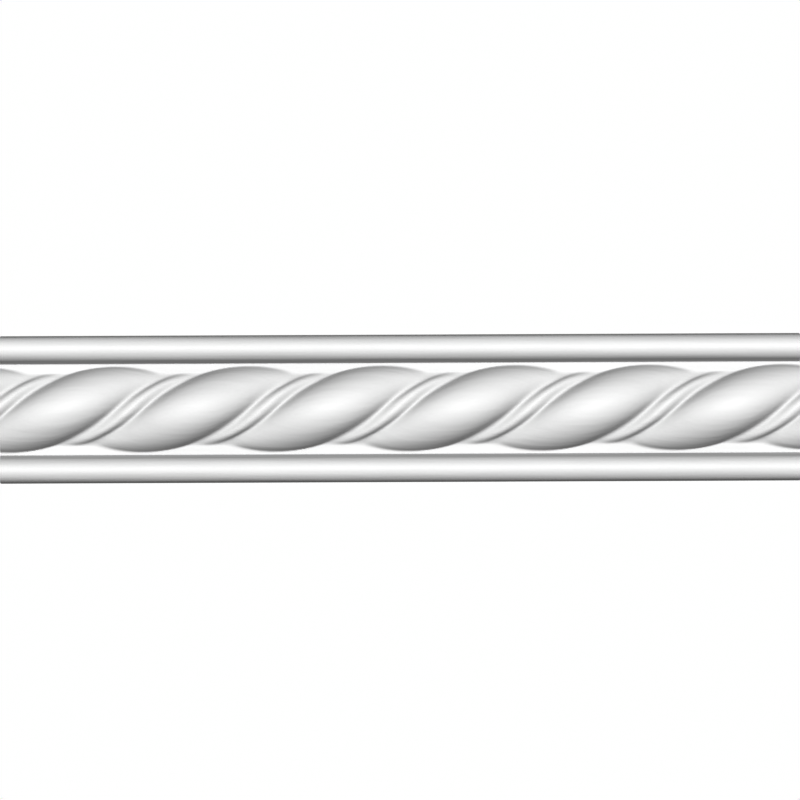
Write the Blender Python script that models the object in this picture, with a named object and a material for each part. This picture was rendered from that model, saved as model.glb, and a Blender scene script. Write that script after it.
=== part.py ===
"""A straight length of flexible moulding with a rope twist, cast in one piece.

X runs along the moulding, +Z is up and the front faces -Y. The back is flat and lies on y = 0,
and the origin is at its middle.
"""

import math

import bmesh
import bpy
import numpy as np

# Driving dimensions, in metres
FACE_HEIGHT = 0.0400
REPEAT_LENGTH = 0.03615
REPEATS = 6
FLOOR_DEPTH = 0.0070

# The bead along each edge: half an ellipse, how far its middle stands above the channel's floor,
# where it ends on the outer side, and the steep flank down to the floor with a small cove
BEAD_HALF_WIDTH = 0.00335
BEAD_RISE = 0.00385
BEAD_CENTRE = 0.01635
BEAD_LIFT = 0.0017
BEAD_SIDE_ANGLE = math.radians(88)
FLANK_ANGLE = math.radians(75)
COVE_RADIUS = 0.0003

# The rope: its root, how far the broad and the thin strands and the grooves between them stand
# out from the root, and the small rounds at the bottom of a groove and along the channel's floor
ROOT_RADIUS = 0.01081
ROOT_DROP = 0.00195
BROAD_RISE = 0.00291
THIN_RISE = 0.00134
THIN_RISE_SWELL = 0.00052
THIN_RISE_DROP = 0.00111
GROOVE_RISE = 0.00080
GROOVE_BLEND = 0.00051
FLOOR_BLEND = 0.0006

# The widths of the strands as shares of a repeat, how full their rounds are, and how far the
# thin strand leaves the middle between the broad ones towards its ends
BROAD_HALF_WIDTH = 0.394
BROAD_WIDENING = -0.010
BROAD_FULLNESS = 0.565
BROAD_FULLNESS_GAIN = 0.260
THIN_HALF_WIDTH = 0.099
THIN_FULLNESS = 0.655
THIN_SHIFT = -0.026
THIN_SHIFT_CUBIC = 0.052

# The twist: the run of one full turn, and the swing that steepens the strands in mid height
TURN_LENGTH = 0.06178
SWING = 0.00322
CREST_LAG = -2.491
CREST_LAG_CUBIC = 2.821
FIRST_CREST = 0.01672

# How the round of the rope is pressed into the channel
RISE_SCALE = 2.516
RISE_POWER = 0.089
RISE_DROP = 0.02460
CREST_FLATTENING = 2.857

# Fineness of the facets
STATIONS_PER_REPEAT = 25
CHANNEL_ROWS = 26
ROW_CROWDING = 0.15
BEAD_SEGMENTS = 7
COVE_SEGMENTS = 2
ANGLE_STEPS = 720
TINY = 1e-9
CREASE_ANGLE = math.radians(40)

LENGTH = REPEAT_LENGTH * REPEATS
HALF_FACE = FACE_HEIGHT / 2

# Finish: a white primer with a soft sheen
PRIMER_COLOUR = (0.86, 0.86, 0.85, 1.0)
PRIMER_ROUGHNESS = 0.42


def clear_scene():
    for old in list(bpy.data.objects):
        bpy.data.objects.remove(old, do_unlink=True)


def primer_material():
    material = bpy.data.materials.new("white_primer")
    material.use_nodes = True
    shader = material.node_tree.nodes["Principled BSDF"]
    shader.inputs["Base Color"].default_value = PRIMER_COLOUR
    shader.inputs["Roughness"].default_value = PRIMER_ROUGHNESS
    shader.inputs["Metallic"].default_value = 0.0
    return material


def rounded_max(first, second, blend):
    """The larger of two values, with the crease between them rounded off."""
    return 0.5 * (first + second + np.sqrt((first - second) ** 2 + blend ** 2))


def round_lobe(offset, half_width, fullness):
    """1 at the middle of a strand and 0 at its edge, falling on below 0 beyond it."""
    base = 1 - (offset / half_width) ** 2
    return np.sign(base) * np.abs(base) ** fullness


def rope_radius(along, side):
    """How far the rope reaches from its axis, where side is the sine of the angle around it."""
    offset = (along / REPEAT_LENGTH + 0.5) % 1.0 - 0.5
    thin_path = THIN_SHIFT * side + THIN_SHIFT_CUBIC * side ** 3
    thin_offset = (offset - thin_path) % 1.0 - 0.5
    root = ROOT_RADIUS - ROOT_DROP * side ** 2
    broad_width = BROAD_HALF_WIDTH + BROAD_WIDENING * side ** 2
    broad_fullness = BROAD_FULLNESS + BROAD_FULLNESS_GAIN * side ** 2
    broad = root + BROAD_RISE * round_lobe(offset, broad_width, broad_fullness)
    thin_rise = THIN_RISE + THIN_RISE_SWELL * side ** 2 - THIN_RISE_DROP * side ** 4
    thin = root + thin_rise * round_lobe(thin_offset, THIN_HALF_WIDTH, THIN_FULLNESS)
    return rounded_max(np.maximum(broad, thin), root + GROOVE_RISE, GROOVE_BLEND)


def rope_section(x):
    """The round of the rope at one place along the run: its heights and its rises."""
    angle = np.linspace(-math.pi / 2, math.pi / 2, ANGLE_STEPS + 1)
    side = np.sin(angle)
    front = np.cos(angle).clip(TINY)
    twist = TURN_LENGTH * angle / (2 * math.pi)
    along = x - FIRST_CREST - twist - SWING * np.sin(2 * angle)
    reach = rope_radius(along, side)
    lag = (CREST_LAG * side + CREST_LAG_CUBIC * side ** 3) * (reach - ROOT_RADIUS)
    reach = rope_radius(along - lag, side)
    height = reach * side
    rise = RISE_SCALE * reach * front ** RISE_POWER - RISE_DROP
    rise = rise - CREST_FLATTENING * (reach - ROOT_RADIUS) * (1 - front)
    return height, rise


def channel_rise(x, rows):
    """How far the surface stands above the channel's floor at each of the given heights."""
    height, rise = rope_section(x)
    low, high = height[:-1], height[1:]
    share = (rows[:, None] - low) / np.where(high == low, TINY, high - low)
    crossing = rise[:-1] + share * (rise[1:] - rise[:-1])
    top = np.where((share >= 0) & (share <= 1), crossing, -FLOOR_DEPTH).max(axis=1)
    return rounded_max(top, 0.0, FLOOR_BLEND)


def edge_profile():
    """The upper edge from the channel's floor to the back, as (height, depth) pairs."""
    bead_depth = FLOOR_DEPTH + BEAD_LIFT
    flank_turn = math.atan(math.tan(FLANK_ANGLE) * BEAD_HALF_WIDTH / BEAD_RISE)
    arc_foot = BEAD_CENTRE - BEAD_HALF_WIDTH * math.sin(flank_turn)
    flank_rise = BEAD_LIFT + BEAD_RISE * math.cos(flank_turn)
    corner = arc_foot - flank_rise / math.tan(FLANK_ANGLE)
    cove_start = corner - COVE_RADIUS * math.tan(FLANK_ANGLE / 2)
    points = []
    for step in range(COVE_SEGMENTS + 1):
        turn = FLANK_ANGLE * step / COVE_SEGMENTS
        height = cove_start + COVE_RADIUS * math.sin(turn)
        points.append((height, FLOOR_DEPTH + COVE_RADIUS * (1 - math.cos(turn))))
    for step in range(BEAD_SEGMENTS + 1):
        turn = (flank_turn + BEAD_SIDE_ANGLE) * step / BEAD_SEGMENTS - flank_turn
        height = BEAD_CENTRE + BEAD_HALF_WIDTH * math.sin(turn)
        points.append((height, bead_depth + BEAD_RISE * math.cos(turn)))
    points.append((HALF_FACE, 0.0))
    return points


def channel_rows(half_channel):
    """Heights of the rows across the channel, a little closer together near its edges."""
    even = np.linspace(-1, 1, CHANNEL_ROWS + 1)
    crowded = np.sin(even * math.pi / 2)
    return half_channel * ((1 - ROW_CROWDING) * even + ROW_CROWDING * crowded)


def add_channel(mesh, stations, rows):
    """The channel's floor with the rope on it; gives back its lowest and its highest row."""
    grid = []
    for x in stations:
        rise = channel_rise(x, rows)
        rise[0] = rise[-1] = 0.0
        column = [mesh.verts.new((x, -FLOOR_DEPTH - up, z)) for up, z in zip(rise, rows)]
        grid.append(column)
    for near, far in zip(grid[:-1], grid[1:]):
        for row in range(len(rows) - 1):
            mesh.faces.new((near[row], far[row], far[row + 1]))
            mesh.faces.new((near[row], far[row + 1], near[row + 1]))
    return [column[0] for column in grid], [column[-1] for column in grid]


def add_fan(mesh, line, left, right):
    """A flat strip between a row of many points and an edge with one point at each end."""
    middle = len(line) // 2
    for index in range(len(line) - 1):
        corner = left if index < middle else right
        mesh.faces.new((line[index], line[index + 1], corner))
    mesh.faces.new((line[middle], right, left))


def add_edge(mesh, row, sign, profile):
    """One bead with its cove and its side, from the channel's row to the back."""
    left_end, right_end = -LENGTH / 2, LENGTH / 2
    left = [mesh.verts.new((left_end, -depth, sign * height)) for height, depth in profile[1:]]
    right = [mesh.verts.new((right_end, -depth, sign * height)) for height, depth in profile[1:]]
    add_fan(mesh, row, left[0], right[0])
    for index in range(len(left) - 1):
        mesh.faces.new((left[index], right[index], right[index + 1], left[index + 1]))
    return left, right


def moulding_mesh():
    profile = edge_profile()
    stations = np.linspace(-LENGTH / 2, LENGTH / 2, STATIONS_PER_REPEAT * REPEATS + 1)
    rows = channel_rows(profile[0][0])
    mesh = bmesh.new()
    low_row, high_row = add_channel(mesh, stations, rows)
    low_left, low_right = add_edge(mesh, low_row, -1, profile)
    high_left, high_right = add_edge(mesh, high_row, 1, profile)
    mesh.faces.new((low_left[-1], low_right[-1], high_right[-1], high_left[-1]))
    bmesh.ops.holes_fill(mesh, edges=mesh.edges[:], sides=0)
    bmesh.ops.triangulate(mesh, faces=[face for face in mesh.faces if len(face.verts) > 4])
    bmesh.ops.recalc_face_normals(mesh, faces=mesh.faces[:])
    data = bpy.data.meshes.new("rope_moulding")
    mesh.to_mesh(data)
    mesh.free()
    return data


def build():
    clear_scene()
    data = moulding_mesh()
    data.shade_smooth()
    data.set_sharp_from_angle(angle=CREASE_ANGLE)
    data.materials.append(primer_material())
    moulding = bpy.data.objects.new("rope_moulding", data)
    bpy.context.scene.collection.objects.link(moulding)


build()
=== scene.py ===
"""Looks of the flexible moulding: a white primed casting with a rope twist between two beads.

X runs along the moulding, +Z is up and the front faces -Y. Lengths are in metres, and the
strands' widths and shifts are shares of a repeat.
"""
import math

import bmesh
import bpy
import numpy as np
from mathutils import Matrix, Vector


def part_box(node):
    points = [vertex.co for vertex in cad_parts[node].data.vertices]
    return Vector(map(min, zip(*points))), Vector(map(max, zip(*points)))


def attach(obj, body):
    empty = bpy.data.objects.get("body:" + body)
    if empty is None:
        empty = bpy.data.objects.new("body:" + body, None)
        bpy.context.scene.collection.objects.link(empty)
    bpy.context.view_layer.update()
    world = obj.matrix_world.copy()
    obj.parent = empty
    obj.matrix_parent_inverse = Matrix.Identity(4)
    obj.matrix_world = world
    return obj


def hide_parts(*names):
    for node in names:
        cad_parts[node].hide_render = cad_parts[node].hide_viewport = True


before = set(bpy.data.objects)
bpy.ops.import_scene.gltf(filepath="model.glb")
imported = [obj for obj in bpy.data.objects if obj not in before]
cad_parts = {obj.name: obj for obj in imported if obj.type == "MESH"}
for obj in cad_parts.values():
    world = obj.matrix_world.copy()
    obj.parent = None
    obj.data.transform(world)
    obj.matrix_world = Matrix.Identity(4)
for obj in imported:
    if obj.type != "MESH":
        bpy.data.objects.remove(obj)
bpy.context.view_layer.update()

LOW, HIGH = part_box("rope_moulding")

# Sizes taken from the frame
LENGTH = HIGH[0] - LOW[0]
HALF_FACE = (HIGH[2] - LOW[2]) / 2
REPEATS = 6
REPEAT_LENGTH = LENGTH / REPEATS

# The form of the casting is as in the part's source, but with crisper grooves and edges beside
# the thin strand and with the strands up to 0.4 mm further along
FLOOR_DEPTH = 0.0070

# The bead along each edge: half an ellipse with a steep flank and a small cove at its foot
BEAD_HALF_WIDTH = 0.00335
BEAD_RISE = 0.00385
BEAD_CENTRE = 0.01635
BEAD_LIFT = 0.0017
BEAD_SIDE_ANGLE = math.radians(88)
FLANK_ANGLE = math.radians(75)
COVE_RADIUS = 0.0003

# The rope: its root, and how far the strands and the grooves between them stand out from it
ROOT_RADIUS = 0.01081
ROOT_DROP = 0.00195
BROAD_RISE = 0.00291
THIN_RISE = 0.00134
THIN_RISE_SWELL = 0.00052
THIN_RISE_DROP = 0.00111
GROOVE_RISE = 0.00080
GROOVE_BLEND = 0.00034
FLOOR_BLEND = 0.0006

# The widths of the strands, how full their rounds are, and the thin strand's place between the
# broad ones
BROAD_HALF_WIDTH = 0.396
BROAD_WIDENING = -0.010
BROAD_FULLNESS = 0.565
BROAD_FULLNESS_GAIN = 0.260
THIN_HALF_WIDTH = 0.099
THIN_FULLNESS = 0.600
THIN_OFFSET = 0.006
THIN_SHIFT = -0.026
THIN_SHIFT_CUBIC = 0.052

# The twist: the run of one full turn, and the swing that steepens the strands in mid height
TURN_LENGTH = 0.06178
SWING = 0.00322
CREST_LAG = -2.491
CREST_LAG_CUBIC = 2.821
FIRST_CREST = 0.01687

# How the round of the rope is pressed into the channel
RISE_SCALE = 2.516
RISE_POWER = 0.089
RISE_DROP = 0.02460
CREST_FLATTENING = 2.857

# Fineness of the smooth mesh
STATIONS_PER_REPEAT = 80
CHANNEL_ROWS = 116
BEAD_SEGMENTS = 18
COVE_SEGMENTS = 4
ANGLE_STEPS = 1440
TINY = 1e-9
CREASE_ANGLE = math.radians(50)

# The picture, in pixels: its width and the row that the moulding's middle lies on, then the
# moulding's tilt in it and the camera's lens, sensor and reach
PICTURE_WIDTH = 800
MOULDING_ROW = 408.35
TILT = math.radians(0.24)
LENS = 600.0
SENSOR = 36.0
CAMERA_REACH = 100.0

# Light: the suns' turns from the front, rises and strengths, and the sky's light and look
KEY_RISE = math.radians(8)
KEY_STRENGTH = 2.38
BACK_TURN = math.radians(136)
BACK_STRENGTH = 1.9
SOFTNESS = math.radians(8)
SKY_LIGHT = 0.37
SKY_SEEN = 1.0
WHITE = (1.0, 1.0, 1.0)

FLOOR_SIZE = 10.0
FLOOR_HEIGHT = -0.3
FLOOR_COLOUR = (0.85, 0.85, 0.85)
FLOOR_ROUGHNESS = 0.9
FLOOR_GLOW = 0.55

# The finishes: colours from dark to light, and the middle of each noise's range
PRIMER_COLOURS = (0.85, 0.85, 0.85), (0.87, 0.87, 0.87)
BACK_COLOURS = (0.60, 0.58, 0.53), (0.67, 0.65, 0.60)
END_COLOURS = (0.74, 0.72, 0.66), (0.82, 0.80, 0.75)
NOISE_RANGE = 0.3, 0.7

# Which finish of the casting a face takes
FACE, BACK, END = range(3)


def rounded_max(first, second, blend):
    """The larger of two values, with the crease between them rounded off."""
    return 0.5 * (first + second + np.sqrt((first - second) ** 2 + blend ** 2))


def round_lobe(offset, half_width, fullness):
    """1 at the middle of a strand and 0 at its edge, falling on below 0 beyond it."""
    base = 1 - (offset / half_width) ** 2
    return np.sign(base) * np.abs(base) ** fullness


def rope_radius(along, side):
    """How far the rope reaches from its axis, where side is the sine of the angle around it."""
    offset = (along / REPEAT_LENGTH + 0.5) % 1.0 - 0.5
    thin_path = THIN_OFFSET + THIN_SHIFT * side + THIN_SHIFT_CUBIC * side ** 3
    thin_offset = (offset - thin_path) % 1.0 - 0.5
    root = ROOT_RADIUS - ROOT_DROP * side ** 2
    broad_width = BROAD_HALF_WIDTH + BROAD_WIDENING * side ** 2
    broad_fullness = BROAD_FULLNESS + BROAD_FULLNESS_GAIN * side ** 2
    broad = root + BROAD_RISE * round_lobe(offset, broad_width, broad_fullness)
    thin_rise = THIN_RISE + THIN_RISE_SWELL * side ** 2 - THIN_RISE_DROP * side ** 4
    thin = root + thin_rise * round_lobe(thin_offset, THIN_HALF_WIDTH, THIN_FULLNESS)
    return rounded_max(np.maximum(broad, thin), root + GROOVE_RISE, GROOVE_BLEND)


def rope_section(x):
    """The round of the rope at one place along the run: its heights and its rises."""
    angle = np.linspace(-math.pi / 2, math.pi / 2, ANGLE_STEPS + 1)
    side = np.sin(angle)
    front = np.cos(angle).clip(TINY)
    twist = TURN_LENGTH * angle / (2 * math.pi)
    along = x - FIRST_CREST - twist - SWING * np.sin(2 * angle)
    reach = rope_radius(along, side)
    lag = (CREST_LAG * side + CREST_LAG_CUBIC * side ** 3) * (reach - ROOT_RADIUS)
    reach = rope_radius(along - lag, side)
    height = reach * side
    rise = RISE_SCALE * reach * front ** RISE_POWER - RISE_DROP
    rise = rise - CREST_FLATTENING * (reach - ROOT_RADIUS) * (1 - front)
    return height, rise


def channel_rise(x, rows):
    """How far the surface stands above the channel's floor at each of the given heights."""
    height, rise = rope_section(x)
    low, high = height[:-1], height[1:]
    share = (rows[:, None] - low) / np.where(high == low, TINY, high - low)
    crossing = rise[:-1] + share * (rise[1:] - rise[:-1])
    top = np.where((share >= 0) & (share <= 1), crossing, -FLOOR_DEPTH).max(axis=1)
    return rounded_max(top, 0.0, FLOOR_BLEND)


def edge_profile():
    """The upper edge from the channel's floor to the back, as (height, depth) pairs."""
    bead_depth = FLOOR_DEPTH + BEAD_LIFT
    flank_turn = math.atan(math.tan(FLANK_ANGLE) * BEAD_HALF_WIDTH / BEAD_RISE)
    arc_foot = BEAD_CENTRE - BEAD_HALF_WIDTH * math.sin(flank_turn)
    flank_rise = BEAD_LIFT + BEAD_RISE * math.cos(flank_turn)
    corner = arc_foot - flank_rise / math.tan(FLANK_ANGLE)
    cove_start = corner - COVE_RADIUS * math.tan(FLANK_ANGLE / 2)
    points = []
    for step in range(COVE_SEGMENTS + 1):
        turn = FLANK_ANGLE * step / COVE_SEGMENTS
        height = cove_start + COVE_RADIUS * math.sin(turn)
        points.append((height, FLOOR_DEPTH + COVE_RADIUS * (1 - math.cos(turn))))
    for step in range(BEAD_SEGMENTS + 1):
        turn = (flank_turn + BEAD_SIDE_ANGLE) * step / BEAD_SEGMENTS - flank_turn
        height = BEAD_CENTRE + BEAD_HALF_WIDTH * math.sin(turn)
        points.append((height, bead_depth + BEAD_RISE * math.cos(turn)))
    points.append((HALF_FACE, 0.0))
    return points


def light_directly(thing):
    """Keeps an object from shading or lighting others, so each surface shows its slope alone."""
    thing.visible_shadow = False
    thing.visible_diffuse = False
    thing.visible_glossy = False


def moulding_loops():
    """One closed outline at each station along the run, from the lower back edge to the upper."""
    profile = edge_profile()
    rows = np.linspace(-profile[0][0], profile[0][0], CHANNEL_ROWS + 1)
    below = [(-height, depth) for height, depth in reversed(profile[1:])]
    stations = np.linspace(LOW[0], HIGH[0], STATIONS_PER_REPEAT * REPEATS + 1)
    loops = []
    for x in stations:
        rise = np.minimum(channel_rise(x, rows), -LOW[1] - FLOOR_DEPTH)
        rise[0] = rise[-1] = 0.0
        channel = [(z, FLOOR_DEPTH + up) for z, up in zip(rows, rise)]
        loops.append([(x, -depth, z) for z, depth in below + channel + profile[1:]])
    return loops


def moulding_piece(face, back, end):
    """The whole casting as one smooth mesh, with its own finish on the face, back and ends."""
    mesh = bmesh.new()
    rings = [[mesh.verts.new(point) for point in loop] for loop in moulding_loops()]
    count = len(rings[0])
    for near, far in zip(rings[:-1], rings[1:]):
        for index in range(count - 1):
            strip = mesh.faces.new((near[index], far[index], far[index + 1], near[index + 1]))
            strip.material_index = FACE
        mesh.faces.new((near[-1], far[-1], far[0], near[0])).material_index = BACK
    mesh.faces.new(rings[0]).material_index = END
    mesh.faces.new(list(reversed(rings[-1]))).material_index = END
    bmesh.ops.recalc_face_normals(mesh, faces=mesh.faces[:])
    data = bpy.data.meshes.new("rope_moulding_cast")
    mesh.to_mesh(data)
    mesh.free()
    data.shade_smooth()
    data.set_sharp_from_angle(angle=CREASE_ANGLE)
    for material in (face, back, end):
        data.materials.append(material)
    piece = bpy.data.objects.new("rope_moulding_cast", data)
    bpy.context.scene.collection.objects.link(piece)
    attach(piece, "root")
    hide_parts("rope_moulding")
    light_directly(piece)


class Finish:
    """A Principled material whose noises are measured in metres on the object."""

    def __init__(self, name, roughness):
        self.material = bpy.data.materials.new(name)
        self.material.use_nodes = True
        self.tree = self.material.node_tree
        self.shader = self.tree.nodes["Principled BSDF"]
        self.shader.inputs["Roughness"].default_value = roughness
        self.place = self.tree.nodes.new("ShaderNodeTexCoord").outputs["Object"]

    def stretched(self, scale):
        """The object's own coordinates, stretched by a factor along each axis."""
        node = self.tree.nodes.new("ShaderNodeMapping")
        node.inputs["Scale"].default_value = scale
        self.tree.links.new(self.place, node.inputs["Vector"])
        return node.outputs["Vector"]

    def noise(self, size, detail=2.0, stretch=(1.0, 1.0, 1.0)):
        """A smooth noise whose lumps are about the given size."""
        node = self.tree.nodes.new("ShaderNodeTexNoise")
        node.inputs["Scale"].default_value = 1.0 / size
        node.inputs["Detail"].default_value = detail
        self.tree.links.new(self.stretched(stretch), node.inputs["Vector"])
        return node.outputs["Fac"]

    def cells(self, size):
        """The distance to the nearest of many scattered points, for pores."""
        node = self.tree.nodes.new("ShaderNodeTexVoronoi")
        node.inputs["Scale"].default_value = 1.0 / size
        self.tree.links.new(self.place, node.inputs["Vector"])
        return node.outputs["Distance"]

    def band(self, value, low, high, out_low, out_high):
        """A value mapped from one range to another and held inside it."""
        node = self.tree.nodes.new("ShaderNodeMapRange")
        settings = (low, high, out_low, out_high)
        for name, number in zip(("From Min", "From Max", "To Min", "To Max"), settings):
            node.inputs[name].default_value = number
        self.tree.links.new(value, node.inputs["Value"])
        return node.outputs["Result"]

    def colour(self, value, dark, light):
        """The base colour, from dark where the value is 0 to light where it is 1."""
        node = self.tree.nodes.new("ShaderNodeMix")
        node.data_type = "RGBA"
        node.inputs["A"].default_value = (*dark, 1.0)
        node.inputs["B"].default_value = (*light, 1.0)
        self.tree.links.new(value, node.inputs["Factor"])
        self.tree.links.new(node.outputs["Result"], self.shader.inputs["Base Color"])

    def roughness(self, value):
        self.tree.links.new(value, self.shader.inputs["Roughness"])

    def bump(self, value, height, under=None):
        """Raises the surface by up to the given height where the value is 1."""
        node = self.tree.nodes.new("ShaderNodeBump")
        node.inputs["Distance"].default_value = height
        self.tree.links.new(value, node.inputs["Height"])
        if under is not None:
            self.tree.links.new(under, node.inputs["Normal"])
        self.tree.links.new(node.outputs["Normal"], self.shader.inputs["Normal"])
        return node.outputs["Normal"]


def primer_finish():
    """Sprayed white primer: a soft sheen, a faint orange peel and slow waves along the run."""
    finish = Finish("white_primer_face", roughness=0.60)
    cloud = finish.noise(size=0.035, detail=3.0)
    finish.colour(finish.band(cloud, *NOISE_RANGE, 0.0, 1.0), *PRIMER_COLOURS)
    finish.roughness(finish.band(finish.noise(size=0.012), *NOISE_RANGE, 0.58, 0.62))
    peel = finish.bump(finish.noise(size=0.0011, detail=1.0), height=0.000012)
    waves = finish.noise(size=0.0026, detail=2.0, stretch=(0.07, 1.0, 1.0))
    finish.bump(waves, height=0.00015, under=peel)
    return finish.material


def cast_back_finish():
    """The bare back, scraped level along the run before the casting set."""
    finish = Finish("bare_cast_back", roughness=0.62)
    cloud = finish.noise(size=0.02, detail=4.0)
    finish.colour(finish.band(cloud, *NOISE_RANGE, 0.0, 1.0), *BACK_COLOURS)
    finish.roughness(finish.band(finish.noise(size=0.004), *NOISE_RANGE, 0.55, 0.70))
    scrapes = finish.noise(size=0.0016, detail=3.0, stretch=(0.05, 1.0, 1.0))
    scraped = finish.bump(scrapes, height=0.00010)
    pits = finish.band(finish.cells(size=0.0028), 0.05, 0.22, 0.0, 1.0)
    finish.bump(pits, height=0.00010, under=scraped)
    return finish.material


def cut_end_finish():
    """The sawn end: close pores and the faint marks of the blade across the height."""
    finish = Finish("sawn_cast_end", roughness=0.66)
    cloud = finish.noise(size=0.006, detail=3.0)
    finish.colour(finish.band(cloud, *NOISE_RANGE, 0.0, 1.0), *END_COLOURS)
    saw_marks = finish.noise(size=0.0008, detail=2.0, stretch=(1.0, 1.0, 0.08))
    sawn = finish.bump(saw_marks, height=0.00005)
    pores = finish.band(finish.cells(size=0.0009), 0.08, 0.30, 0.0, 1.0)
    finish.bump(pores, height=0.00006, under=sawn)
    return finish.material


def pale_floor():
    """A wide pale floor below the moulding, with a soft glow of its own."""
    material = bpy.data.materials.new("pale_floor")
    material.use_nodes = True
    shader = material.node_tree.nodes["Principled BSDF"]
    shader.inputs["Base Color"].default_value = (*FLOOR_COLOUR, 1.0)
    shader.inputs["Roughness"].default_value = FLOOR_ROUGHNESS
    shader.inputs["Emission Color"].default_value = (*WHITE, 1.0)
    shader.inputs["Emission Strength"].default_value = FLOOR_GLOW
    half = FLOOR_SIZE / 2
    data = bpy.data.meshes.new("floor")
    corners = [(-half, -half, 0), (half, -half, 0), (half, half, 0), (-half, half, 0)]
    data.from_pydata(corners, [], [(0, 1, 2, 3)])
    data.materials.append(material)
    floor = bpy.data.objects.new("floor", data)
    floor.location.z = FLOOR_HEIGHT
    bpy.context.scene.collection.objects.link(floor)
    light_directly(floor)


def sun(name, turn, rise, strength):
    """A soft sun that shines from the given turn around +Z and rise; turn 0 is the front."""
    light = bpy.data.lights.new(name, "SUN")
    light.energy = strength
    light.angle = SOFTNESS
    level = math.cos(rise)
    source = Vector((math.sin(turn) * level, -math.cos(turn) * level, math.sin(rise)))
    lamp = bpy.data.objects.new(name, light)
    lamp.rotation_euler = source.to_track_quat("Z", "Y").to_euler()
    bpy.context.scene.collection.objects.link(lamp)


def studio_light():
    """A sun just above the camera, two behind, and an even sky that is white to the eye."""
    sun("key", 0.0, KEY_RISE, KEY_STRENGTH)
    sun("back_left", -BACK_TURN, 0.0, BACK_STRENGTH)
    sun("back_right", BACK_TURN, 0.0, BACK_STRENGTH)
    world = bpy.data.worlds.new("studio")
    world.use_nodes = True
    tree = world.node_tree
    lit = tree.nodes["Background"]
    lit.inputs["Color"].default_value = (*WHITE, 1.0)
    lit.inputs["Strength"].default_value = SKY_LIGHT
    seen = tree.nodes.new("ShaderNodeBackground")
    seen.inputs["Color"].default_value = (*WHITE, 1.0)
    seen.inputs["Strength"].default_value = SKY_SEEN
    path = tree.nodes.new("ShaderNodeLightPath")
    mix = tree.nodes.new("ShaderNodeMixShader")
    tree.links.new(path.outputs["Is Camera Ray"], mix.inputs["Fac"])
    tree.links.new(lit.outputs["Background"], mix.inputs[1])
    tree.links.new(seen.outputs["Background"], mix.inputs[2])
    tree.links.new(mix.outputs["Shader"], tree.nodes["World Output"].inputs["Surface"])
    bpy.context.scene.world = world


def straight_camera():
    """A long lens straight in front; the channel's floor just fills the picture's width."""
    data = bpy.data.cameras.new("camera")
    data.sensor_width = SENSOR
    data.lens = LENS
    distance = LENGTH * LENS / SENSOR
    pixel = LENGTH / PICTURE_WIDTH
    camera = bpy.data.objects.new("camera", data)
    height = (MOULDING_ROW - PICTURE_WIDTH / 2) * pixel
    place = Matrix.Translation((0.0, -FLOOR_DEPTH - distance, height))
    facing = Matrix.Rotation(math.pi / 2, 4, "X") @ Matrix.Rotation(-TILT, 4, "Z")
    camera.matrix_world = place @ facing
    data.clip_end = CAMERA_REACH
    bpy.context.scene.collection.objects.link(camera)
    bpy.context.scene.camera = camera


straight_camera()
studio_light()
pale_floor()
moulding_piece(primer_finish(), cast_back_finish(), cut_end_finish())
bpy.context.scene.view_settings.view_transform = "Raw"
